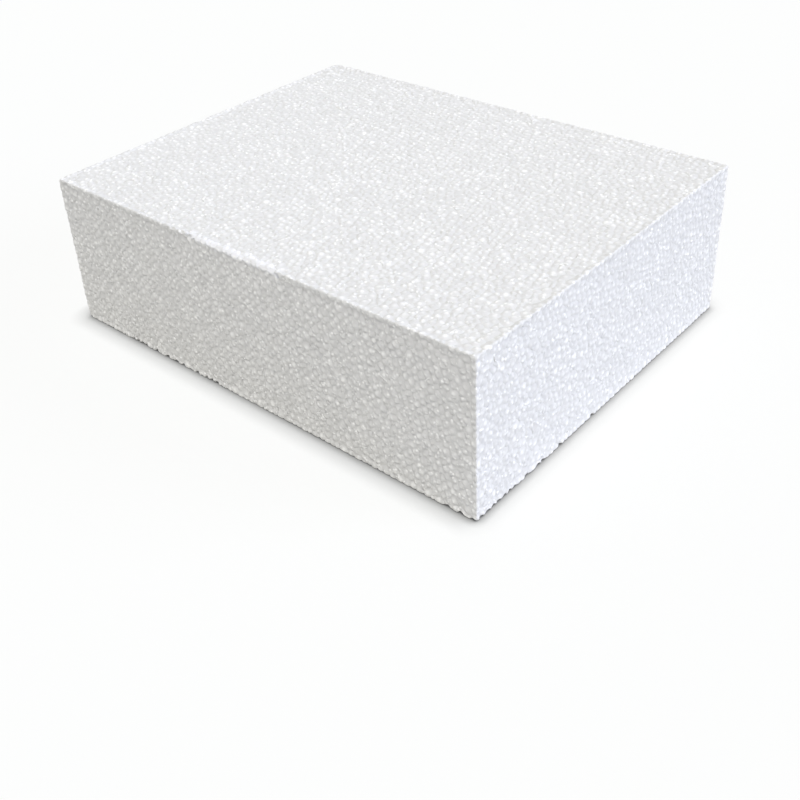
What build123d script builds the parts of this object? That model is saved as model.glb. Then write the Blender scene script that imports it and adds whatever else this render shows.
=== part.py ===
"""A free-standing rectangular block cut from white expanded polystyrene foam, in millimetres.

The block is one solid: beads fused into one mass and cut on all six sides with a hot wire.
Its edges are barely eased. Use has marked it in two ways, and both are part of its form:
the long side that faces -Y has a stretch of its top edge rubbed down to a bevel that deepens
to the right, and beads have come out along three edges, each leaving a round socket.

The origin is the centre of the underside, +X runs along the block's length and +Z is up.
Places along an edge are measured from the named end, so they stay put when the block grows.
"""

import os
from math import sqrt

from build123d import *

# The cut block
block_length = 256.0
block_width = 200.0
block_height = 80.0
edge_radius = 1.0  # what the hot wire leaves on every edge

# The fused beads: a lost one leaves a socket of its own size in the edge
bead_diameter = 3.7
bead_pitch = 3.4  # fused beads are pressed together, so they stand closer than their diameter
socket_depth = 1.3  # from the eased edge to the bottom of a socket, along the corner's bisector

# The rubbed stretch of the top edge on the -Y side
worn_from_left_end = 98.0
worn_length = 55.0
worn_onto_top = 3.4  # how far the bevel reaches over the top face
worn_down_at_left = 1.7  # how far it reaches down the side, where it starts
worn_down_at_right = 2.6  # and where it ends
worn_bulge = 0.3  # rubbing rounds the bevel, so it stands this much proud of flat

# Where beads are missing, by distance from the named end: rows as (first, last), then single ones
front_foot_rows_from_left_end = ((38.0, 48.2), (94.5, 101.3))
front_foot_singles_from_left_end = (56.5, 64.8, 71.4, 77.0, 87.5, 241.0, 247.8, 254.0)
right_foot_rows_from_front = ((12.2, 15.6), (19.6, 26.4), (43.8, 47.2))
right_foot_singles_from_front = (3.9, 8.2, 35.3, 60.2, 86.0)
front_top_singles_from_left_end = (87.0, 93.4)

# Worked out from the sizes above
left_end = -block_length / 2
right_end = block_length / 2
front_side = -block_width / 2
worn_left = left_end + worn_from_left_end
worn_right = worn_left + worn_length
cutter_past = edge_radius  # how far the cutter of the rubbed stretch stands outside the block
bead_radius = bead_diameter / 2
eased_off = edge_radius * (sqrt(2) - 1)  # from the sharp corner to the eased edge, on the bisector
socket_inset = (eased_off + socket_depth - bead_radius) / sqrt(2)  # of a centre, from both faces


def along(rows, singles):
    """Distances from the named end of every missing bead: one at each pitch of a row, and the singles."""
    in_rows = [first + bead_pitch * number
               for first, last in rows
               for number in range(round((last - first) / bead_pitch) + 1)]
    return in_rows + list(singles)


# Centres of the sockets, one list for each marked edge
front_foot = [(left_end + d, front_side + socket_inset, socket_inset)
              for d in along(front_foot_rows_from_left_end, front_foot_singles_from_left_end)]
right_foot = [(right_end - socket_inset, front_side + d, socket_inset)
              for d in along(right_foot_rows_from_front, right_foot_singles_from_front)]
front_top = [(left_end + d, front_side + socket_inset, block_height - socket_inset)
             for d in front_top_singles_from_left_end]
worn_ends = [(worn_left, front_side + socket_inset, block_height - worn_down_at_left),
             (worn_right, front_side + socket_inset, block_height - worn_down_at_right)]

with BuildPart() as foam_block:
    Box(
        block_length,
        block_width,
        block_height,
        align=(Align.CENTER, Align.CENTER, Align.MIN),
    )
    fillet(foam_block.edges(), radius=edge_radius)

    # The rubbed stretch: the corner comes off between two profiles, one at each of its ends
    for x, worn_down in ((worn_left, worn_down_at_left), (worn_right, worn_down_at_right)):
        on_top = (front_side + worn_onto_top, block_height)
        on_side = (front_side, block_height - worn_down)
        with BuildSketch(Plane.YZ.offset(x)):
            with BuildLine():
                SagittaArc(on_side, on_top, worn_bulge)
                Polyline(
                    on_top,
                    (on_top[0], block_height + cutter_past),
                    (front_side - cutter_past, block_height + cutter_past),
                    (front_side - cutter_past, on_side[1]),
                    on_side,
                )
            make_face()
    loft(mode=Mode.SUBTRACT)

    # The sockets of the missing beads
    with Locations(*front_foot, *right_foot, *front_top, *worn_ends):
        Sphere(bead_radius, mode=Mode.SUBTRACT)

foam_block.part.label = "foam_block"
os.makedirs("parts", exist_ok=True)
export_step(foam_block.part, "parts/foam_block.step")
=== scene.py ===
"""Looks for a free-standing block cut from expanded polystyrene foam with a hot wire.

The block is one closed mesh. Its surface is a plane cut, on six sides, through one packing of fused
beads in space, so the pattern runs round the edges as on the real block. Each bead that the wire cut
is a soft cushion with a groove to the next bead, and carries a painted highlight: a bright spot near
its middle. Small glazed nubs stand here and there in the grooves; their near white is a painted glint,
as are the white glints strewn over the cut. The eased edges, the rubbed stretch and the sockets of the
lost beads are carved into the same mesh. The rubbed stretch is painted paler and bluer, partly for the
rubbing and partly as painted light, the light that its bevel catches like the top.

The block's own maths is in millimetres; the mesh, the finishes and the stage are in metres.
"""

import logging
from collections.abc import Iterator
from dataclasses import dataclass, field
from enum import Enum
from math import pi, radians

import bpy
import numpy as np
from mathutils import Matrix, Vector
from mathutils.geometry import delaunay_2d_cdt
from numpy.typing import NDArray


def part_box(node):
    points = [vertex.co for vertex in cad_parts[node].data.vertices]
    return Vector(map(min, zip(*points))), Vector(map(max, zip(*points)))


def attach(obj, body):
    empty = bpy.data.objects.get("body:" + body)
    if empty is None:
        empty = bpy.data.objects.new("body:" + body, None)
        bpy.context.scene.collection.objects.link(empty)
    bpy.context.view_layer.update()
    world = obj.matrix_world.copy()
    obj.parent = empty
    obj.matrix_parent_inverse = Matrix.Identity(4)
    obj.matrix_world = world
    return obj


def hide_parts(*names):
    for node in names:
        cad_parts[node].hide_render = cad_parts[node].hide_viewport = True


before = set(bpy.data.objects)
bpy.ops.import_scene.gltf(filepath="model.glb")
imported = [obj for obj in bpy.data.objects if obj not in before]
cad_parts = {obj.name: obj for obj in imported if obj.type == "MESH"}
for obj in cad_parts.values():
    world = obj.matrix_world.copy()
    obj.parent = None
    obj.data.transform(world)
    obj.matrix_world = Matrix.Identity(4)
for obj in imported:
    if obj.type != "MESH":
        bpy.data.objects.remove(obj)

log = logging.getLogger("foam_block")

Array = NDArray[np.float64]
Whole = NDArray[np.int64]
Colour = tuple[float, float, float]
Place = tuple[float, float, float]
Pair = tuple[float, float]

METRES = 0.001  # one millimetre
DECIMALS = 3  # places that agree to this many, in millimetres, are one
ONE_NUMBER = np.array([1, 1000, 1000000])  # makes one whole number of a cube's three


class Side(Enum):
    """The six cut sides, each as (axis it faces along, which way)."""

    LEFT_END = (0, -1)
    RIGHT_END = (0, 1)
    FRONT = (1, -1)
    BACK = (1, 1)
    BASE = (2, -1)
    TOP = (2, 1)


class Mark(Enum):
    """What a point of the mesh stands for in the bead pattern."""

    MIDDLE = 0
    BORDER = 1
    JUNCTION = 2
    BETWEEN = 3


def smooth(value: Array, low: float, high: float) -> Array:
    """Runs from 0 at low to 1 at high along the curve 3t^2 - 2t^3.

    Args:
        value: The numbers to run.
        low: Where the result leaves 0.
        high: Where it reaches 1.

    Returns:
        The smoothed share, as many numbers as came in.
    """
    t = np.clip((value - low) / (high - low), 0.0, 1.0)
    return t * t * (3.0 - 2.0 * t)


def group_means(keys: Whole, places: Array) -> tuple[Whole, Array, Whole]:
    """Averages the places that share a key.

    Args:
        keys: One key for each place.
        places: Rows of coordinates.

    Returns:
        The different keys, the mean place of each, and how many places it had.
    """
    different, group, count = np.unique(keys, return_inverse=True, return_counts=True)
    sums = [np.bincount(group, weights=column) for column in places.T]
    return different, np.stack(sums, axis=1) / count[:, None], count


@dataclass
class BeadPacking:
    """The fused beads that the cuts go through: a loose honeycomb just under each of the six sides.

    A row of beads lies under every edge of the block, and shows on both of its sides.
    """

    low: Array
    high: Array
    pitch: float = 3.5  # from one bead to the next
    disorder: float = 0.32  # how far a bead is pushed off its place, as a share of the pitch
    under: float = 1.3  # the beads' middles lie this far under the cut
    off_edge_row: float = 0.6  # the honeycomb starts this share of the pitch from the edge row
    turn: float = 0.26  # of the honeycomb, in radians, so that no row of it runs along an edge
    reach: float = 5.5  # no spot of a cut is further from the nearest bead's middle
    tile: float = 8.0  # side of the cubes that the search for the nearest bead works through
    seed: int = 11
    middles: Array = field(init=False)
    columns: Array = field(init=False)

    def __post_init__(self) -> None:
        """Lays the beads out."""
        rng = np.random.default_rng(self.seed)
        layers = [self._honeycomb(side) for side in Side]
        beads = np.concatenate(layers + [self._edge_rows()])
        self.middles = beads + rng.uniform(-self.disorder, self.disorder, beads.shape) * self.pitch
        self.columns = self.middles.T.copy()

    def _honeycomb(self, side: Side) -> Array:
        """The beads under one side.

        Bead (i, j) of the honeycomb is at i (p, 0) + j (p / 2, p sqrt(3) / 2), turned about its normal.

        Args:
            side: The side.

        Returns:
            Rows of (x, y, z).
        """
        axis, way = side.value
        across = [a for a in range(3) if a != axis]
        low, high = (bound[across] for bound in (self.low + self.under, self.high - self.under))
        rows = int(np.linalg.norm(high - low) / self.pitch) + 2
        i, j = np.meshgrid(*[np.arange(-rows, rows + 1)] * 2, indexing="ij")
        place = np.stack([i + j / 2, j * np.sqrt(3) / 2], axis=-1).reshape(-1, 2) * self.pitch
        place = place @ np.array(Matrix.Rotation(self.turn, 2)) + (low + high) / 2
        clear = self.off_edge_row * self.pitch
        place = place[((place > low + clear) & (place < high - clear)).all(axis=1)]
        beads = np.empty((len(place), 3))
        beads[:, across] = place
        beads[:, axis] = (self.high - self.under if way > 0 else self.low + self.under)[axis]
        return beads

    def _edge_rows(self) -> Array:
        """The beads under the twelve edges, at even steps near the pitch."""
        low, high = self.low + self.under, self.high - self.under
        ends = np.stack([low, high])
        rows = []
        for axis in range(3):
            others = [a for a in range(3) if a != axis]
            steps = int(round((high - low)[axis] / self.pitch))
            run = np.linspace(low[axis], high[axis], steps + 1)
            for which in np.ndindex(2, 2):
                row = np.empty((len(run), 3))
                row[:, axis] = run
                row[:, others] = ends[which, others]
                rows.append(row)
        return np.unique(np.concatenate(rows), axis=0)

    def _tiles(self, points: Array) -> Iterator[tuple[Whole, Whole, Array]]:
        """Walks through the cubes that hold points.

        Bead b scores |b|^2 - 2 p b for point p, which is lowest for the bead nearest to it.

        Args:
            points: Rows of places.

        Yields:
            The points in one cube and the beads that may be nearest to them, as indices, and the
            score of each bead for each point.
        """
        cube = np.floor((points - self.low) / self.tile).astype(np.int64)
        key = (cube + 1) @ ONE_NUMBER
        order = np.argsort(key, kind="stable")
        starts = np.flatnonzero(np.diff(key[order], prepend=-1))
        for members in np.split(order, starts[1:]):
            near = np.ones(len(self.middles), bool)
            for column, middle in zip(self.columns, self.low + (cube[members[0]] + 0.5) * self.tile):
                near &= np.abs(column - middle) < self.tile / 2 + self.reach
            beads = self.middles[near]
            score = (beads**2).sum(axis=1) - 2.0 * points[members] @ beads.T
            yield members, np.flatnonzero(near), score

    def nearest(self, points: Array) -> Whole:
        """The bead that holds each point: the one whose middle is nearest.

        Args:
            points: Rows of places.

        Returns:
            The index of a bead for each point.
        """
        found = np.empty(len(points), np.int64)
        for members, near, score in self._tiles(points):
            found[members] = near[score.argmin(axis=1)]
        return found

    def to_border(self, points: Array) -> Array:
        """How far each point is from the flat border between its bead and the next.

        With the two nearest middles a and b, the distance is (|p-b|^2 - |p-a|^2) / (2 |a-b|).

        Args:
            points: Rows of places.

        Returns:
            The distances.
        """
        found = np.empty(len(points))
        for members, near, score in self._tiles(points):
            two = np.argpartition(score, 1, axis=1)[:, :2]
            gap = np.abs(np.diff(np.take_along_axis(score, two, axis=1), axis=1))[:, 0]
            first, second = self.middles[near[two.T]]
            apart = np.linalg.norm(first - second, axis=1)
            found[members] = gap / (2.0 * apart)
        return found


@dataclass
class Points:
    """Points of one cut side: where they are on it, and what each stands for."""

    place: Array
    mark: Whole

    @classmethod
    def of(cls, place: Array, mark: Mark) -> "Points":
        """Points that all stand for the same thing."""
        return cls(place, np.full(len(place), mark.value))

    def where(self, keep: NDArray[np.bool_]) -> "Points":
        """The points that the mask keeps."""
        return Points(self.place[keep], self.mark[keep])

    @staticmethod
    def join(*parts: "Points") -> "Points":
        """All the parts, one after the other."""
        return Points(
            np.concatenate([p.place for p in parts]), np.concatenate([p.mark for p in parts])
        )


@dataclass
class CutSide:
    """One flat cut through the packing, meshed so that its edges follow the borders of the beads."""

    side: Side
    packing: BeadPacking
    grain: float = 0.25  # the raster on which borders and junctions are found
    line_grain: float = 0.05  # how finely a line is searched for the borders that it crosses
    line_apart: float = 0.4  # crossings closer together than this count as one
    line_step: float = 0.9  # spacing of points along the block's edges
    row_inset: float = 0.8  # a row of points this far in lets the edge be eased
    clear: float = 0.35  # pattern points stay this far off that row
    smallest: float = 1.0  # a section under this area has no point of its own
    long_border: float = 2.2  # a border over this length has a point at its middle
    merge: float = 1e-5  # the triangulation would merge points that are closer than this
    labels: Whole = field(init=False)

    def __post_init__(self) -> None:
        """Finds the bead under every spot of the raster."""
        self.axis, self.way = self.side.value
        across, up = [a for a in range(3) if a != self.axis]
        if (self.way > 0) == (self.axis == 1):
            across, up = up, across
        self.axes = [across, up]
        self.low = self.packing.low[self.axes]
        self.high = self.packing.high[self.axes]
        self.spots = np.round((self.high - self.low) / self.grain).astype(int)
        self.spot = (self.high - self.low) / self.spots
        u, v = (self.low[i] + (np.arange(self.spots[i]) + 0.5) * self.spot[i] for i in (0, 1))
        raster = np.stack(np.meshgrid(u, v, indexing="ij"), axis=-1)
        self.labels = self.packing.nearest(self.in_space(raster.reshape(-1, 2))).reshape(self.spots)
        self._find_sections()

    def in_space(self, place: Array) -> Array:
        """Lifts places on the side into the block's own space.

        Args:
            place: Rows of (across, up) on this side.

        Returns:
            Rows of (x, y, z).
        """
        points = np.empty((len(place), 3))
        points[:, self.axes] = place
        bound = self.packing.high if self.way > 0 else self.packing.low
        points[:, self.axis] = bound[self.axis]
        return points

    def label_at(self, place: Array) -> Whole:
        """The bead under each place, read from the raster."""
        at = np.floor((place - self.low) / self.spot).astype(int)
        i, j = np.clip(at, 0, self.spots - 1).T
        return self.labels[i, j]

    def _find_sections(self) -> None:
        """Finds the middle of each bead's section, the mean place of its spots, and its area."""
        i, j = np.indices(self.labels.shape)
        places = np.stack([i.ravel() + 0.5, j.ravel() + 0.5], axis=1)
        self.cut_beads, mean, count = group_means(self.labels.ravel(), places)
        self.section_middles = self.low + mean * self.spot
        self.section_areas = count * self.spot.prod()

    def section_of(self, beads: Whole) -> Whole:
        """Which section each bead has on this side."""
        return np.searchsorted(self.cut_beads, beads)

    def _borders(self) -> Array:
        """The middle of each long border: the mean place where two beads lie side by side."""
        places, keys = [], []
        for axis in (0, 1):
            last = self.labels.shape[axis] - 1
            a, b = (np.take(self.labels, range(s, last + s), axis) for s in (0, 1))
            i, j = np.nonzero(a != b)
            first, second = np.sort(np.stack([a[i, j], b[i, j]]), axis=0)
            keys.append(first * len(self.packing.middles) + second)
            ahead = np.eye(2)[axis] * 0.5
            places.append(np.stack([i, j], axis=1) + 0.5 + ahead)
        _, mean, count = group_means(np.concatenate(keys), np.concatenate(places))
        shortest = self.long_border / self.spot.mean()
        return self.low + mean[count > shortest] * self.spot

    def _junctions(self) -> Array:
        """Where three beads meet: the mean place of the 2 x 2 spots that touch the same three."""
        four = np.stack(
            [self.labels[a : a - 1 or None, b : b - 1 or None] for a in (0, 1) for b in (0, 1)], axis=-1
        )
        four = np.sort(four, axis=-1)
        i, j = np.nonzero((np.diff(four, axis=-1) != 0).sum(axis=-1) >= 2)
        a, b, c, d = four[i, j].T
        second = np.where(a == b, c, b)
        number = len(self.packing.middles)
        _, mean, _ = group_means((a * number + second) * number + d, np.stack([i, j], axis=1) + 1.0)
        return self.low + mean * self.spot

    def line(self, fixed: int, value: float, at: float) -> Points:
        """Points along a line on the side, on every border that it crosses and evenly between.

        Args:
            fixed: Which of the side's two directions the line stays at one place in.
            value: That place.
            at: How far the line's two ends stand in from the sides it runs to.

        Returns:
            The points, ends included.
        """
        run = 1 - fixed
        first, last = self.low[run] + at, self.high[run] - at
        along = np.linspace(first, last, int((last - first) / self.line_grain) + 1)
        place = np.full((len(along), 2), value)
        place[:, run] = along
        bead = self.packing.nearest(self.in_space(place))
        change = np.flatnonzero(np.diff(bead))
        ends = np.concatenate([[first], (along[change] + along[change + 1]) / 2, [last]])
        keep = np.diff(ends, append=np.inf) > self.line_apart
        keep[0] = True
        keep[-1] = True
        ends = ends[keep]
        parts = np.maximum(np.round(np.diff(ends) / self.line_step), 1).astype(int)
        start = np.repeat(np.arange(len(parts)), parts)
        inside = np.arange(parts.sum()) - np.repeat(np.cumsum(parts) - parts, parts)
        stops = ends[start] + inside * (np.diff(ends) / parts)[start]
        mark = np.where(inside == 0, Mark.BORDER.value, Mark.BETWEEN.value)
        mark[0] = Mark.BETWEEN.value
        points = np.full((len(stops) + 1, 2), value)
        points[:, run] = np.append(stops, last)
        return Points(points, np.append(mark, Mark.BETWEEN.value))

    def _ring(self, inset: float) -> list[Points]:
        """The four lines of points that run round the side, this far in from its edges."""
        low, high = self.low + inset, self.high - inset
        return [self.line(fixed, end[fixed], inset) for fixed in (0, 1) for end in (low, high)]

    def mesh(self, extra: Array) -> tuple[Points, Whole]:
        """Joins the points of the pattern into triangles.

        Args:
            extra: More places on this side, where a carved form needs them.

        Returns:
            The points, and the triangles as rows of three indices, counter-clockwise from outside.
        """
        lines = self._ring(0.0) + self._ring(self.row_inset)
        pattern = Points.join(
            Points.of(self.section_middles[self.section_areas > self.smallest], Mark.MIDDLE),
            Points.of(self._borders(), Mark.BORDER),
            Points.of(self._junctions(), Mark.JUNCTION),
        )
        edge = np.minimum(pattern.place - self.low, self.high - pattern.place).min(axis=1)
        pattern = pattern.where(edge > self.row_inset + self.clear)
        points = Points.join(*lines, pattern, Points.of(extra, Mark.BETWEEN))
        _, once = np.unique(np.round(points.place, DECIMALS), axis=0, return_index=True)
        points = points.where(np.isin(np.arange(len(points.mark)), once))
        placed, _, faces, *_ = delaunay_2d_cdt(points.place, [], [], 0, self.merge, False)
        triangles = np.array(faces)
        if len(placed) != len(points.mark):
            raise ValueError(f"{self.side.name}: the triangulation merged or added points")
        return points, triangles


@dataclass
class WornStretch:
    """The stretch of the front top edge that is rubbed to a bevel, deepening to the right."""

    low: Array
    high: Array
    from_left_end: float = 98.0
    length: float = 55.0
    onto_top: float = 3.4  # how far the bevel reaches over the top
    down_at_left: float = 1.7  # how far it reaches down the side, where it starts
    down_at_right: float = 2.6  # and where it ends
    bulge: float = 0.3  # rubbing rounds the bevel, so it stands this much proud of flat
    fade: float = 0.8  # the ends step down within this length
    ragged: float = 0.22  # beads stand up to this much more or less proud of it
    paler_past: float = 2.0  # the paler look of the rubbed beads, partly rubbing and partly painted light, reaches this far past the ends
    paler_off: Pair = (0.9, 1.3)  # and fades out between these shares of the bevel
    rows_at: Pair = (0.62, 1.0)  # shares of the bevel that have a row of points
    row_step: float = 0.9  # spacing of the points in these rows
    end_start: float = 1.2  # the rows across the bevel's ends start this far from the edge
    end_step: float = 0.5  # spacing of the points in them

    def _down(self, along: Array) -> Array:
        """How far the bevel reaches down the side, at a share of its length."""
        return self.down_at_left + (self.down_at_right - self.down_at_left) * np.clip(along, 0, 1)

    def rubbed_and_lit(self, points: Array) -> Array:
        """How much each point of the box is inside the rubbed stretch, which the finish paints paler,
        partly for the rubbing and partly as painted light.

        The bevel's two long borders are where inward / onto + below / down is 1.

        Args:
            points: Rows of (x, y, z) on the sharp box.

        Returns:
            A share for each point.
        """
        along = points[:, 0] - self.low[0] - self.from_left_end
        down = self._down(along / self.length)
        off = (points[:, 1] - self.low[1]) / self.onto_top + (self.high[2] - points[:, 2]) / down
        from_end = np.minimum(along, self.length - along)
        return smooth(from_end, -self.paler_past, 0.0) * (1.0 - smooth(off, *self.paler_off))

    def carve(self, points: Array, lift: Array) -> Array:
        """Pushes the corner's points in to the bevel.

        In the section across the edge the bevel is the line from (0, down) to (onto, 0), bulged
        outward by 4 b t (1 - t). A point outside it moves square to that line until it lies on it.

        Args:
            points: Rows of (x, y, z).
            lift: How much each point's bead stands proud, from -1 to 1.

        Returns:
            The points, moved.
        """
        start = self.low[0] + self.from_left_end
        along = (points[:, 0] - start) / self.length
        onto = self.onto_top
        down = self._down(along)
        inward = points[:, 1] - self.low[1]
        below = self.high[2] - points[:, 2]
        chord = np.hypot(onto, down)
        t = np.clip((inward * onto - (below - down) * down) / chord**2, 0, 1)
        outside = (onto * down - inward * down - below * onto) / chord
        outside -= self.bulge * 4 * t * (1 - t) + self.ragged * lift * np.sin(pi * t)
        step = self.fade / self.length
        shown = smooth(along, -step / 2, step / 2) * smooth(1 - along, -step / 2, step / 2)
        push = np.maximum(outside, 0.0) * shown
        moved = points.copy()
        moved[:, 1] += push * down / chord
        moved[:, 2] -= push * onto / chord
        return moved

    def extra(self, side: CutSide) -> Array:
        """Points along the bevel's two long borders and across its ends.

        Args:
            side: The side to put them on: the top or the front.

        Returns:
            Places on that side.
        """
        if side.side not in (Side.TOP, Side.FRONT):
            return np.empty((0, 2))
        start = self.low[0] + self.from_left_end
        x = np.arange(start, start + self.length, self.row_step)
        on_top = side.side is Side.TOP
        away = np.full(len(x), self.onto_top) if on_top else self._down((x - start) / self.length)
        rows = [np.stack([x, away * share], axis=1) for share in self.rows_at]
        across = np.arange(self.end_start, self.onto_top + self.end_step, self.end_step)
        for end in (start, start + self.length):
            for nudge in (-self.fade / 2, self.fade / 2):
                rows.append(np.stack([np.full(len(across), end + nudge), across], axis=1))
        x, away = np.concatenate(rows).T
        other = self.low[1] + away if on_top else self.high[2] - away
        return np.stack([x, other] if side.axes[0] == 0 else [other, x], axis=1)


@dataclass
class LostBeads:
    """The round sockets of the beads that have come out along three edges."""

    low: Array
    high: Array
    worn: WornStretch
    pitch: float = 3.4  # from one to the next in a row
    diameter: float = 3.7
    depth: float = 1.3  # from the eased edge to the bottom, along the corner's bisector
    edge_radius: float = 1.0
    spacing: float = 0.45  # of the points in and round a socket
    off_edge: float = 0.2  # they stay this far off the block's edges
    # by distance from the named end: rows as (first, last), then single ones
    front_foot_rows: tuple[Pair, ...] = ((38.0, 48.2), (94.5, 101.3))
    front_foot_singles: tuple[float, ...] = (56.5, 64.8, 71.4, 77.0, 87.5, 241.0, 247.8, 254.0)
    right_foot_rows: tuple[Pair, ...] = ((12.2, 15.6), (19.6, 26.4), (43.8, 47.2))
    right_foot_singles: tuple[float, ...] = (3.9, 8.2, 35.3, 60.2, 86.0)
    front_top_singles: tuple[float, ...] = (87.0, 93.4)

    def _along(self, rows: tuple[Pair, ...], singles: tuple[float, ...]) -> list[float]:
        """Distances from the named end: one at each pitch of a row, and the singles."""
        in_rows = [
            first + self.pitch * number
            for first, last in rows
            for number in range(round((last - first) / self.pitch) + 1)
        ]
        return in_rows + list(singles)

    def sockets(self) -> tuple[Array, Array]:
        """Where the sockets are.

        Returns:
            Their centres, and for each the way in from the edge, square to it.
        """
        radius = self.diameter / 2
        eased = self.edge_radius * (np.sqrt(2) - 1)
        inset = (eased + self.depth - radius) / np.sqrt(2)
        left, front, foot = self.low
        right, _, top = self.high
        worn_left = left + self.worn.from_left_end
        worn_right = worn_left + self.worn.length
        front_foot = self._along(self.front_foot_rows, self.front_foot_singles)
        right_foot = self._along(self.right_foot_rows, self.right_foot_singles)
        rows = [((left + d, front + inset, foot + inset), (0, 1, 1)) for d in front_foot]
        rows += [((right - inset, front + d, foot + inset), (-1, 0, 1)) for d in right_foot]
        rows += [((left + d, front + inset, top - inset), (0, 1, -1)) for d in self.front_top_singles]
        rows.append(((worn_left, front + inset, top - self.worn.down_at_left), (0, 1, -1)))
        rows.append(((worn_right, front + inset, top - self.worn.down_at_right), (0, 1, -1)))
        centres, ways = (np.array(column, float) for column in zip(*rows))
        return centres, ways / np.sqrt(2)

    def carve(self, points: Array) -> Array:
        """Pushes the points inside a ball of the bead's size on to its far wall.

        A point p moves by t along the way in d, where |p + t d - centre| is the radius.

        Args:
            points: Rows of (x, y, z).

        Returns:
            The points, moved.
        """
        moved = points.copy()
        radius = self.diameter / 2
        for centre, way in zip(*self.sockets()):
            inside = np.flatnonzero(((moved - centre) ** 2).sum(axis=1) < radius**2)
            off = moved[inside] - centre
            along = off @ way
            travel = np.sqrt(along**2 - (off**2).sum(axis=1) + radius**2) - along
            moved[inside] += travel[:, None] * way
        return moved

    def extra(self, side: CutSide) -> Array:
        """A close grid of points wherever a socket meets this side.

        Args:
            side: The side to put them on.

        Returns:
            Places on that side.
        """
        step = self.spacing
        radius = self.diameter / 2
        line = np.arange(-radius - step, radius + 2 * step, step)
        offsets = np.stack(np.meshgrid(line, line, indexing="ij"), axis=-1).reshape(-1, 2)
        centres, _ = self.sockets()
        away = np.abs(centres[:, side.axis] - side.in_space(np.zeros((1, 2)))[0, side.axis])
        near = centres[away < radius][:, side.axes]
        if not len(near):
            return np.empty((0, 2))
        grid = (near[:, None, :] + offsets[None, :, :]).reshape(-1, 2)
        grid = np.unique(np.round(grid / step).astype(int), axis=0) * step
        apart = np.linalg.norm(grid[:, None, :] - near[None, :, :], axis=-1).min(axis=1)
        edge = np.minimum(grid - side.low, side.high - grid).min(axis=1)
        return grid[(apart < radius + step) & (edge > self.off_edge)]


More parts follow.
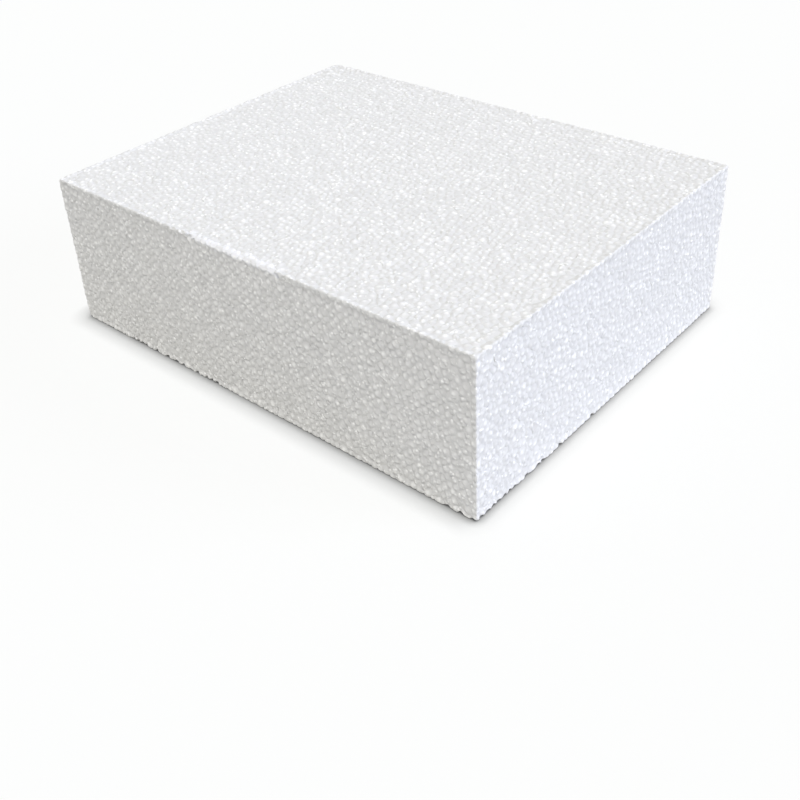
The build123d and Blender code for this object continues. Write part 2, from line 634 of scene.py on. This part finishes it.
@dataclass
class FoamBlock:
    """The whole block as one mesh, and its finish."""

    low: Array
    high: Array
    finish: "CutFoam"
    groove_depth: float = 0.95  # how far under the true cut the grooves between the beads lie
    crown_depth: Pair = (0.05, 0.30)  # and the middles of the beads
    crown_reach: float = 1.4  # a bead reaches the level of its middle this far from its border
    edge_radius: float = 1.0
    edge_ease: Pair = (0.7, 1.2)  # each bead's share of that radius
    edge_scallop: float = 0.12  # the edge is eased up to this much deeper between two beads
    scallop_share: Pair = (0.2, 1.0)  # from one place to the next
    groove_from: float = 0.9  # a point is in a groove where its rim is over this
    edge_calm: float = 0.6  # by what share the pattern is shallower at an edge
    edge_reach: float = 1.5  # and about how far in from it
    corner_extra: float = 0.6  # corners are worn rounder than edges
    corner_reach: float = 2.5  # about this far from the corner
    junction_bare: float = 0.85  # share of the junctions with no nub
    border_bare: float = 0.9  # and of the long borders
    border_nub: float = 0.8  # how glazed a nub on a border is, against one at a junction
    glazed_share: float = 0.03  # of the beads, with a glazed middle
    middle_nub: float = 0.9  # and how glazed that is
    nub_lift: float = 0.4  # by what share a nub stands shallower
    highlight_off: float = 0.30  # how far a bead's bright spot, a painted highlight, is off its middle, as a share of its size
    highlight_share: Pair = (0.50, 0.90)  # the painted highlight's size, as a share of the bead's
    rim_power: float = 0.9  # a groove's light is a random share raised to this
    rim_between: float = 0.5  # and this between the grooves
    sheet_gap: float = 4.0  # between the sides on the flat sheet
    seed: int = 23
    name: str = "foam_beads"

    def build(self) -> bpy.types.Object:
        """Makes the mesh.

        Returns:
            The object, at the origin, with its place in its mesh.
        """
        packing = BeadPacking(self.low, self.high)
        worn = WornStretch(self.low, self.high)
        lost = LostBeads(self.low, self.high, worn)
        sides = [CutSide(side, packing) for side in Side]
        places, marks, triangles, beads, spots, highlight_sizes, layout = [], [], [], [], [], [], []
        rng = np.random.default_rng(self.seed + 2)
        for side in sides:
            extra = np.concatenate([worn.extra(side), lost.extra(side)])
            points, faces = side.mesh(extra)
            corners = points.place[faces]
            beads.append(side.label_at(corners.mean(axis=1)))
            section = side.section_of(beads[-1])
            across = np.sqrt(side.section_areas / pi)
            # each section's bright spot, a painted highlight, a little off its middle, and its size
            off = rng.uniform(-self.highlight_off, self.highlight_off, side.section_middles.shape)
            spots.append(side.in_space(side.section_middles + off * across[:, None])[section])
            highlight_sizes.append((rng.uniform(*self.highlight_share, len(off)) * across)[section])
            layout.append(self._on_sheet(side, corners.reshape(-1, 2)))
            triangles.append(faces + sum(len(p) for p in places))
            places.append(side.in_space(points.place))
            marks.append(points.mark)
        triangles = np.concatenate(triangles)
        beads = np.concatenate(beads)
        points = np.concatenate(places)
        _, first, welded = np.unique(
            np.round(points, DECIMALS), axis=0, return_index=True, return_inverse=True
        )
        triangles = welded.reshape(-1)[triangles]
        points = points[first]
        marks = np.concatenate(marks)[first]
        carved, attributes = self._relief(packing, worn, lost, points, marks)
        tone = np.random.default_rng(self.seed + 1).random(len(packing.middles))[beads]
        mesh = self._to_mesh(carved, triangles, beads, np.concatenate(layout))
        for name, values in attributes.items():
            self._attribute(mesh, name, "POINT", values)
        self._attribute(mesh, "bead_tone", "FACE", tone)
        # where each bead's painted highlight lies, and how big it is
        self._attribute(mesh, "spot", "FACE", np.concatenate(spots) * METRES)
        self._attribute(mesh, "highlight_size", "FACE", np.concatenate(highlight_sizes) * METRES)
        block = bpy.data.objects.new(self.name, mesh)
        bpy.context.scene.collection.objects.link(block)
        log.info("%s: %d triangles, %d beads", self.name, len(triangles), len(np.unique(beads)))
        return block

    def dress(self, block: bpy.types.Object) -> None:
        """Gives the block its finish and its place in the frame."""
        block.data.materials.append(self.finish.material())
        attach(block, "root")
        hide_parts("foam_block")

    def _relief(
        self, packing: BeadPacking, worn: WornStretch, lost: LostBeads, points: Array, marks: Whole
    ) -> tuple[Array, dict[str, Array]]:
        """Gives the flat box its eased edges, cushions, nubs and marks of use.

        A point p of the box is pulled back to q, the nearest point of the box shrunk by the edge's
        radius r, and pushed out again to q + (r - depth) n, where n points from q to p. With rim, which
        runs from 0 at a bead's middle to 1 at its border, depth = crown + (groove - crown) rim^2.

        Args:
            packing: The beads.
            worn: The rubbed stretch.
            lost: The sockets.
            points: Rows of (x, y, z) on the sharp box.
            marks: What each point stands for.

        Returns:
            The carved points, and the numbers that the finish reads at each of them.
        """
        rng = np.random.default_rng(self.seed)
        number = len(packing.middles)
        crown = rng.uniform(*self.crown_depth, number)
        ease = rng.uniform(*self.edge_ease, number)
        proud = rng.uniform(-1.0, 1.0, number)
        glazed_bead = rng.random(number) < self.glazed_share
        bead = packing.nearest(points)
        middle, border, junction = (
            marks == mark.value for mark in (Mark.MIDDLE, Mark.BORDER, Mark.JUNCTION)
        )
        near_border = 1.0 - np.clip(packing.to_border(points) / self.crown_reach, 0.0, 1.0)
        rim = np.where(border | junction, 1.0, np.where(middle, 0.0, near_border))

        # glaze of the nubs: it makes them glossy and raised, and the finish paints them near white as a
        # painted glint
        chance = rng.random(len(points))
        nub = np.where(junction, smooth(chance, self.junction_bare, 1.0), 0.0)
        nub = np.where(border, self.border_nub * smooth(chance, self.border_bare, 1.0), nub)
        nub = np.where(glazed_bead[bead] & middle, self.middle_nub, nub)

        inward = np.sort(np.minimum(points - self.low, self.high - points), axis=1)
        to_corner = np.linalg.norm(inward, axis=1)
        to_edge = inward[:, 1]
        radius = self.edge_radius * ease[bead]
        scallop = rng.uniform(*self.scallop_share, len(points))
        radius += self.edge_scallop * (rim > self.groove_from) * scallop
        radius += self.corner_extra * np.exp(-((to_corner / self.corner_reach) ** 2))
        inner = np.clip(points, self.low + radius[:, None], self.high - radius[:, None])
        out = points - inner
        out /= np.linalg.norm(out, axis=1)[:, None]
        depth = self.groove_depth + (crown[bead] - self.groove_depth) * (1.0 - rim**2)
        depth *= 1.0 - self.nub_lift * nub
        depth *= 1.0 - self.edge_calm * np.exp(-((to_edge / self.edge_reach) ** 2))
        carved = inner + out * (radius - depth)[:, None]
        carved = worn.carve(carved, proud[bead])
        carved = lost.carve(carved)
        rim_light = rng.random(len(points)) ** self.rim_power
        rim_light = np.where(rim >= 1.0, rim_light, self.rim_between)
        # the share of the paler rubbed stretch, which is partly painted light
        shares = {"rim": rim, "rim_light": rim_light, "glaze": nub, "rubbed_and_lit": worn.rubbed_and_lit(points)}
        return carved, shares

    def _on_sheet(self, side: CutSide, place: Array) -> Array:
        """Lays the six sides out flat, none over another, in the unit square.

        The sheet has three rows: top and base, front and back, then the two ends.

        Args:
            side: The side.
            place: Rows of (across, up) on it.

        Returns:
            Rows of map coordinates.
        """
        length, width, height = self.high - self.low
        gap = self.sheet_gap
        sheet = 2 * length + 3 * gap
        row, column = {
            Side.BASE: (0, 0), Side.TOP: (0, 1), Side.FRONT: (1, 0), Side.BACK: (1, 1),
            Side.LEFT_END: (2, 0), Side.RIGHT_END: (2, 1),
        }[side.side]
        flat = place - side.low
        longer = min(side.axes)
        if side.axes[1] == longer:
            flat = flat[:, ::-1] * [1, -1] + [0, side.high[0] - side.low[0]]
        start_y = (gap, 2 * gap + width, 3 * gap + width + height)[row]
        start = np.array([gap + column * (length + gap), start_y])
        return (flat + start) / sheet

    def _to_mesh(
        self, points: Array, triangles: Whole, beads: Whole, layout: Array
    ) -> bpy.types.Mesh:
        """Puts the arrays into a mesh, smooth inside each bead and crisp where two beads meet.

        Args:
            points: Rows of (x, y, z) in millimetres.
            triangles: Rows of three indices.
            beads: The bead of each triangle.
            layout: Map coordinates of each triangle's corners.

        Returns:
            The mesh, in metres.
        """
        mesh = bpy.data.meshes.new(self.name)
        mesh.vertices.add(len(points))
        mesh.vertices.foreach_set("co", (points * METRES).ravel().astype(np.float32))
        mesh.loops.add(triangles.size)
        mesh.loops.foreach_set("vertex_index", triangles.ravel().astype(np.int32))
        mesh.polygons.add(len(triangles))
        mesh.polygons.foreach_set("loop_start", np.arange(0, triangles.size, 3, dtype=np.int32))
        mesh.update(calc_edges=True)
        mesh.shade_smooth()
        edge = np.empty(triangles.size, np.int32)
        mesh.loops.foreach_get("edge_index", edge)
        order = np.argsort(edge, kind="stable")
        pairs = beads[order // 3].reshape(-1, 2)
        sharp = mesh.attributes.new("sharp_edge", "BOOLEAN", "EDGE")
        sharp.data.foreach_set("value", pairs[:, 0] != pairs[:, 1])
        uv = mesh.uv_layers.new(name="OFBake")
        uv.uv.foreach_set("vector", layout.ravel().astype(np.float32))
        mesh.validate()
        return mesh

    def _attribute(self, mesh: bpy.types.Mesh, name: str, domain: str, values: Array) -> None:
        """Stores a number, or a place in space, for each point or face of the mesh."""
        kind, field_name = ("FLOAT", "value") if values.ndim == 1 else ("FLOAT_VECTOR", "vector")
        stored = mesh.attributes.new(name, kind, domain)
        stored.data.foreach_set(field_name, values.astype(np.float32).ravel())


class Value:
    """A number in a material's nodes; + - * and / on it add Math nodes."""

    def __init__(self, recipe: "Recipe", socket: bpy.types.NodeSocket) -> None:
        """Wraps an output socket of the recipe."""
        self.recipe = recipe
        self.socket = socket

    def _math(self, operation: str, a: "Value | float", b: "Value | float") -> "Value":
        """One Math node on two values."""
        return self.recipe.value("ShaderNodeMath", {"operation": operation}, {0: a, 1: b})

    def __add__(self, other: "Value | float") -> "Value":
        """self + other."""
        return self._math("ADD", self, other)

    def __radd__(self, other: float) -> "Value":
        """other + self."""
        return self._math("ADD", other, self)

    def __sub__(self, other: "Value | float") -> "Value":
        """self - other."""
        return self._math("SUBTRACT", self, other)

    def __rsub__(self, other: float) -> "Value":
        """other - self."""
        return self._math("SUBTRACT", other, self)

    def __mul__(self, other: "Value | float") -> "Value":
        """self * other."""
        return self._math("MULTIPLY", self, other)

    def __rmul__(self, other: float) -> "Value":
        """other * self."""
        return self._math("MULTIPLY", other, self)

    def __truediv__(self, other: "Value | float") -> "Value":
        """self / other."""
        return self._math("DIVIDE", self, other)

    def __rtruediv__(self, other: float) -> "Value":
        """other / self."""
        return self._math("DIVIDE", other, self)

    def smooth(self, low: float, high: float) -> "Value":
        """Runs smoothly from 0 at low to 1 at high."""
        settings = {"interpolation_type": "SMOOTHSTEP"}
        inputs = {"Value": self, "From Min": low, "From Max": high}
        return self.recipe.value("ShaderNodeMapRange", settings, inputs)


class Recipe:
    """The nodes of one material."""

    def __init__(self, name: str) -> None:
        """Makes an empty material with its output."""
        self.material = bpy.data.materials.new(name)
        self.material.use_nodes = True
        self.tree = self.material.node_tree
        self.tree.nodes.clear()
        self.output = self.node("ShaderNodeOutputMaterial", {}, {})

    def node(self, kind: str, settings: dict[str, object], inputs: dict) -> bpy.types.Node:
        """Adds a node.

        Args:
            kind: The node's type.
            settings: Its properties, which are set first.
            inputs: Its sockets, by name or number, each with a value or something to link.

        Returns:
            The node.
        """
        made = self.tree.nodes.new(kind)
        for key, setting in settings.items():
            setattr(made, key, setting)
        for key, given in inputs.items():
            socket = made.inputs[key]
            if isinstance(given, Value):
                self.tree.links.new(given.socket, socket)
            elif isinstance(given, bpy.types.NodeSocket):
                self.tree.links.new(given, socket)
            else:
                socket.default_value = given
        return made

    def value(
        self, kind: str, settings: dict[str, object], inputs: dict, output: int | str = 0
    ) -> Value:
        """Adds a node and gives one of its outputs as a number."""
        return Value(self, self.node(kind, settings, inputs).outputs[output])

    def attribute(self, name: str) -> Value:
        """A number stored on the mesh."""
        return self.value("ShaderNodeAttribute", {"attribute_name": name}, {}, "Fac")

    def vector_attribute(self, name: str) -> bpy.types.NodeSocket:
        """A place stored on the mesh."""
        return self.node("ShaderNodeAttribute", {"attribute_name": name}, {}).outputs["Vector"]

    def cells(self, place: bpy.types.NodeSocket, apart: float) -> bpy.types.Node:
        """A pattern of random cells this far apart, with the distance to and a shade for each."""
        inputs = {"Vector": place, "Scale": 1 / apart, "Randomness": 1.0}
        return self.node("ShaderNodeTexVoronoi", {"feature": "F1"}, inputs)

    def mix(self, share: Value, a: object, b: object) -> bpy.types.NodeSocket:
        """A colour between a and b."""
        inputs = {"Factor": share, 6: a, 7: b}
        return self.node("ShaderNodeMix", {"data_type": "RGBA"}, inputs).outputs[2]

    def finish(self, shader: bpy.types.Node) -> bpy.types.Material:
        """Links the shader to the output and gives the material."""
        self.tree.links.new(shader.outputs[0], self.output.inputs["Surface"])
        return self.material


@dataclass(frozen=True)
class CutFoam:
    """Hot-wire-cut expanded polystyrene: matt beads with a painted highlight each, glazed nubs, and
    glints; nubs and glints are painted near white as painted glints.
    """

    section_dull: Colour = (0.69, 0.69, 0.69)  # a bead's colour lies between this
    section_pale: Colour = (0.745, 0.745, 0.745)  # and this
    # rubbed stretch: paler for the rubbing, and paler and bluer as painted light, the light its bevel
    # catches like the top
    rubbed_and_lit_colour: Colour = (0.88, 0.89, 0.94)
    rubbed_and_lit_share: Pair = (0.5, 0.5)  # on every bead, and more on the palest
    # painted highlight: the bright spot on each bead
    painted_highlight_colour: Colour = (0.98, 0.98, 0.98)
    highlight_share: Pair = (0.4, 0.5)  # on every bead, and more on the palest
    highlight_tones: Pair = (0.2, 1.0)  # where that grows
    highlight_core: float = 0.85  # the painted highlight has its full colour this share of the way in from its border
    rim_colour: Colour = (0.72, 0.72, 0.72)
    rim_from: Pair = (0.70, 0.98)  # where it starts and is full, towards the border
    # near white of the glazed nubs and of the glints: painted glints
    painted_glint_colour: Colour = (0.985, 0.985, 0.985)
    nub_from: Pair = (0.45, 0.70)  # and as the glaze grows
    nub_swell: Pair = (0.1, 0.8)  # where the nub's height starts and is full
    # glints: round white dots strewn through the foam, painted glints
    glint_apart: float = 0.0023
    glint_size: float = 0.0009
    glint_core: float = 0.3  # the share of that size which is fully bright
    glint_shades: Pair = (0.52, 0.67)  # random shades at which it is absent and full
    cell_size: float = 0.00035
    roughness: float = 0.6
    nub_roughness: float = 0.22
    refraction: float = 1.45
    spot_height: float = 0.0001
    ridge_height: float = 0.00002
    nub_height: float = 0.0002
    glint_height: float = 0.00015
    cell_height: float = 0.00003

    def material(self) -> bpy.types.Material:
        """Builds the material."""
        r = Recipe("expanded_foam")
        place = r.node("ShaderNodeTexCoord", {}, {}).outputs["Object"]
        to_rim = r.attribute("rim")
        ridge = to_rim.smooth(*self.rim_from)
        rim = ridge * r.attribute("rim_light")
        glaze = r.attribute("glaze") * to_rim
        # nubs: glossy and raised, and painted near white as a painted glint
        nub = glaze.smooth(*self.nub_from)
        cells = Value(r, r.cells(place, self.cell_size).outputs["Distance"])
        tone = r.attribute("bead_tone")
        # the painted highlight: a bright spot round each bead's stored place, stronger on the palest
        # beads
        off_highlight = r.value(
            "ShaderNodeVectorMath",
            {"operation": "DISTANCE"},
            {0: place, 1: r.vector_attribute("spot")},
            "Value",
        )
        least, more = self.highlight_share
        spot = (1 - off_highlight / r.attribute("highlight_size")).smooth(0.0, self.highlight_core)
        spot = spot * (least + tone.smooth(*self.highlight_tones) * more)
        # glints: painted glints, white dots with a small bump
        glints = r.cells(place, self.glint_apart)
        size = self.glint_size / self.glint_apart
        glint = 1 - Value(r, glints.outputs["Distance"]).smooth(self.glint_core * size, size)
        glint = glint * Value(r, glints.outputs["Color"]).smooth(*self.glint_shades)
        # the rubbed stretch, painted paler and bluer: partly rubbing, partly painted light
        least, more = self.rubbed_and_lit_share
        rubbed_and_lit = r.attribute("rubbed_and_lit") * (least + tone * more)
        colour = r.mix(tone, (*self.section_dull, 1), (*self.section_pale, 1))
        # layers over the bead's tone: the rubbed stretch, partly painted light; the painted highlight;
        # the rims; the nubs and glints, painted glints
        for share, upper in (
            (rubbed_and_lit, self.rubbed_and_lit_colour),
            (spot, self.painted_highlight_colour),
            (rim, self.rim_colour),
            (nub, self.painted_glint_colour),
            (glint, self.painted_glint_colour),
        ):
            colour = r.mix(share, colour, (*upper, 1))
        height = glaze.smooth(*self.nub_swell) * self.nub_height + cells * self.cell_height
        height = height + ridge * self.ridge_height
        height = height + spot * self.spot_height + glint * self.glint_height
        bump = r.node("ShaderNodeBump", {}, {"Strength": 1.0, "Distance": 1.0, "Height": height})
        shader = r.node(
            "ShaderNodeBsdfPrincipled",
            {},
            {
                "Base Color": colour,
                "Roughness": self.roughness - nub * (self.roughness - self.nub_roughness),
                "Normal": bump.outputs[0],
                "IOR": self.refraction,
            },
        )
        return r.finish(shader)


@dataclass(frozen=True)
class PaleFloorFinish:
    """A plain pale studio floor: near white where it is looked at, duller as it lights the block.

    It darkens in the last millimetres before what stands on it: a soft shade on the side away from
    the room's light, and a dark line at the foot. It keeps a share of the shadows of the lamps.
    """

    bounce: Colour = (0.83, 0.825, 0.80)
    white: Colour = (0.965, 0.97, 0.965)
    lit_share: float = 0.12  # of what is seen, that the lamps and shadows change
    foot_reach: float = 0.012  # of the soft shade
    contact_reach: float = 0.004  # of the dark line
    shade_samples: int = 16
    room_light: Place = (0.45, 0.0, 0.893)  # where most of it comes from

    def material(self) -> bpy.types.Material:
        """Builds the material."""
        r = Recipe("pale_floor")
        towards_light = r.node("ShaderNodeCombineXYZ", {}, dict(zip("XYZ", self.room_light)))
        near = {"Distance": self.foot_reach, "Normal": towards_light.outputs[0]}
        touching = {"Distance": self.contact_reach}
        shade, line = (
            r.value("ShaderNodeAmbientOcclusion", {"samples": self.shade_samples}, inputs, "AO")
            for inputs in (near, touching)
        )
        openness = shade * line
        rays = r.node("ShaderNodeLightPath", {}, {}).outputs
        looked_at = Value(r, rays["Is Camera Ray"]) + Value(r, rays["Is Glossy Ray"])
        looked_at = looked_at + Value(r, rays["Is Transmission Ray"])
        shown = r.mix(openness, (0.0, 0.0, 0.0, 1), (*self.white, 1))
        lit = r.node("ShaderNodeBsdfDiffuse", {}, {"Color": (*self.white, 1)})
        glow = r.node("ShaderNodeEmission", {}, {"Color": shown, "Strength": 1.0})
        shares = {0: 1 - self.lit_share, 1: lit.outputs[0], 2: glow.outputs[0]}
        seen = r.node("ShaderNodeMixShader", {}, shares)
        bounced = r.node("ShaderNodeBsdfDiffuse", {}, {"Color": (*self.bounce, 1)})
        shader = r.node(
            "ShaderNodeMixShader", {}, {0: looked_at, 1: bounced.outputs[0], 2: seen.outputs[0]}
        )
        return r.finish(shader)


@dataclass
class PaleFloor:
    """The floor that the block stands on."""

    finish: PaleFloorFinish
    half: float = 6.0  # from its middle to a side

    def build(self) -> bpy.types.Object:
        """Makes the floor, a square at the block's foot."""
        corners = [(x * self.half, y * self.half, 0.0) for x, y in ((-1, -1), (1, -1), (1, 1), (-1, 1))]
        mesh = bpy.data.meshes.new("floor")
        mesh.from_pydata(corners, [], [(0, 1, 2, 3)])
        floor = bpy.data.objects.new("floor", mesh)
        bpy.context.scene.collection.objects.link(floor)
        floor.data.materials.append(self.finish.material())
        return floor


@dataclass(frozen=True)
class SoftSun:
    """A lamp so far away that its light is even, and so wide that its shadows are soft."""

    name: str
    towards: Place  # from the block to the lamp
    light: float  # what it gives a surface that faces it; 1 shows a colour as written
    width: float  # in degrees
    colour: Colour = (1.0, 1.0, 1.0)

    def build(self) -> bpy.types.Object:
        """Makes the lamp."""
        lamp = bpy.data.lights.new(self.name, "SUN")
        lamp.energy = self.light * pi
        lamp.angle = radians(self.width)
        lamp.color = self.colour
        made = bpy.data.objects.new(self.name, lamp)
        bpy.context.scene.collection.objects.link(made)
        made.rotation_mode = "QUATERNION"
        made.rotation_quaternion = Vector(self.towards).to_track_quat("Z", "Y")
        return made


@dataclass
class StudioLight:
    """Light from overhead, from a window on the right, a little from the left and from all round."""

    around: float = 0.31
    around_colour: Colour = (1.0, 0.99, 0.975)
    suns: tuple[SoftSun, ...] = (
        SoftSun("overhead", (0.20, -0.255, 1.0), 0.66, 16.0, (1.0, 0.99, 0.955)),
        SoftSun("right_window", (0.76, 0.50, 0.36), 0.51, 30.0, (0.91, 0.985, 1.23)),
        SoftSun("left_window", (-0.93, 0.10, 0.36), 0.14, 40.0, (1.0, 1.0, 0.95)),
    )

    def build(self) -> None:
        """Makes the lamps and the light of the room."""
        for sun in self.suns:
            sun.build()
        world = bpy.data.worlds.new("room")
        world.use_nodes = True
        room = world.node_tree.nodes["Background"]
        room.inputs["Color"].default_value = (*self.around_colour, 1.0)
        room.inputs["Strength"].default_value = self.around
        bpy.context.scene.world = world


@dataclass
class PhotoCamera:
    """The photograph's viewpoint: from the front right corner, looking down, tipped a little."""

    place: Place = (0.31566, -0.34905, 0.29707)
    heading: float = 41.80  # in degrees, as the next two
    down: float = 32.18
    tip: float = -2.81
    lens: float = 47.96  # in millimetres, as the next
    sensor: float = 36.0
    nearest: float = 0.01
    frame_size: int = 800
    axis_row: float = 310.0  # the picture's row that the lens points at

    def build(self) -> bpy.types.Object:
        """Makes the camera."""
        lens = bpy.data.cameras.new("camera")
        lens.lens = self.lens
        lens.sensor_width = self.sensor
        lens.sensor_fit = "HORIZONTAL"
        lens.shift_y = (self.axis_row - self.frame_size / 2) / self.frame_size
        lens.clip_start = self.nearest
        camera = bpy.data.objects.new("camera", lens)
        bpy.context.scene.collection.objects.link(camera)
        turn = (
            Matrix.Rotation(radians(self.heading), 4, "Z")
            @ Matrix.Rotation(radians(90 - self.down), 4, "X")
            @ Matrix.Rotation(radians(self.tip), 4, "Z")
        )
        camera.matrix_world = Matrix.Translation(self.place) @ turn
        bpy.context.scene.camera = camera
        return camera


def main() -> None:
    """Builds the block, the floor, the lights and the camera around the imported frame."""
    logging.basicConfig(level=logging.INFO, format="%(name)s: %(message)s")
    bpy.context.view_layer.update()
    low, high = (np.array(corner, float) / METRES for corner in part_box("foam_block"))
    PhotoCamera().build()
    block = FoamBlock(low, high, CutFoam())
    piece = block.build()
    block.dress(piece)
    PaleFloor(PaleFloorFinish()).build()
    StudioLight().build()
    bpy.context.scene.view_settings.view_transform = "Standard"


if __name__ == "__main__":
    main()
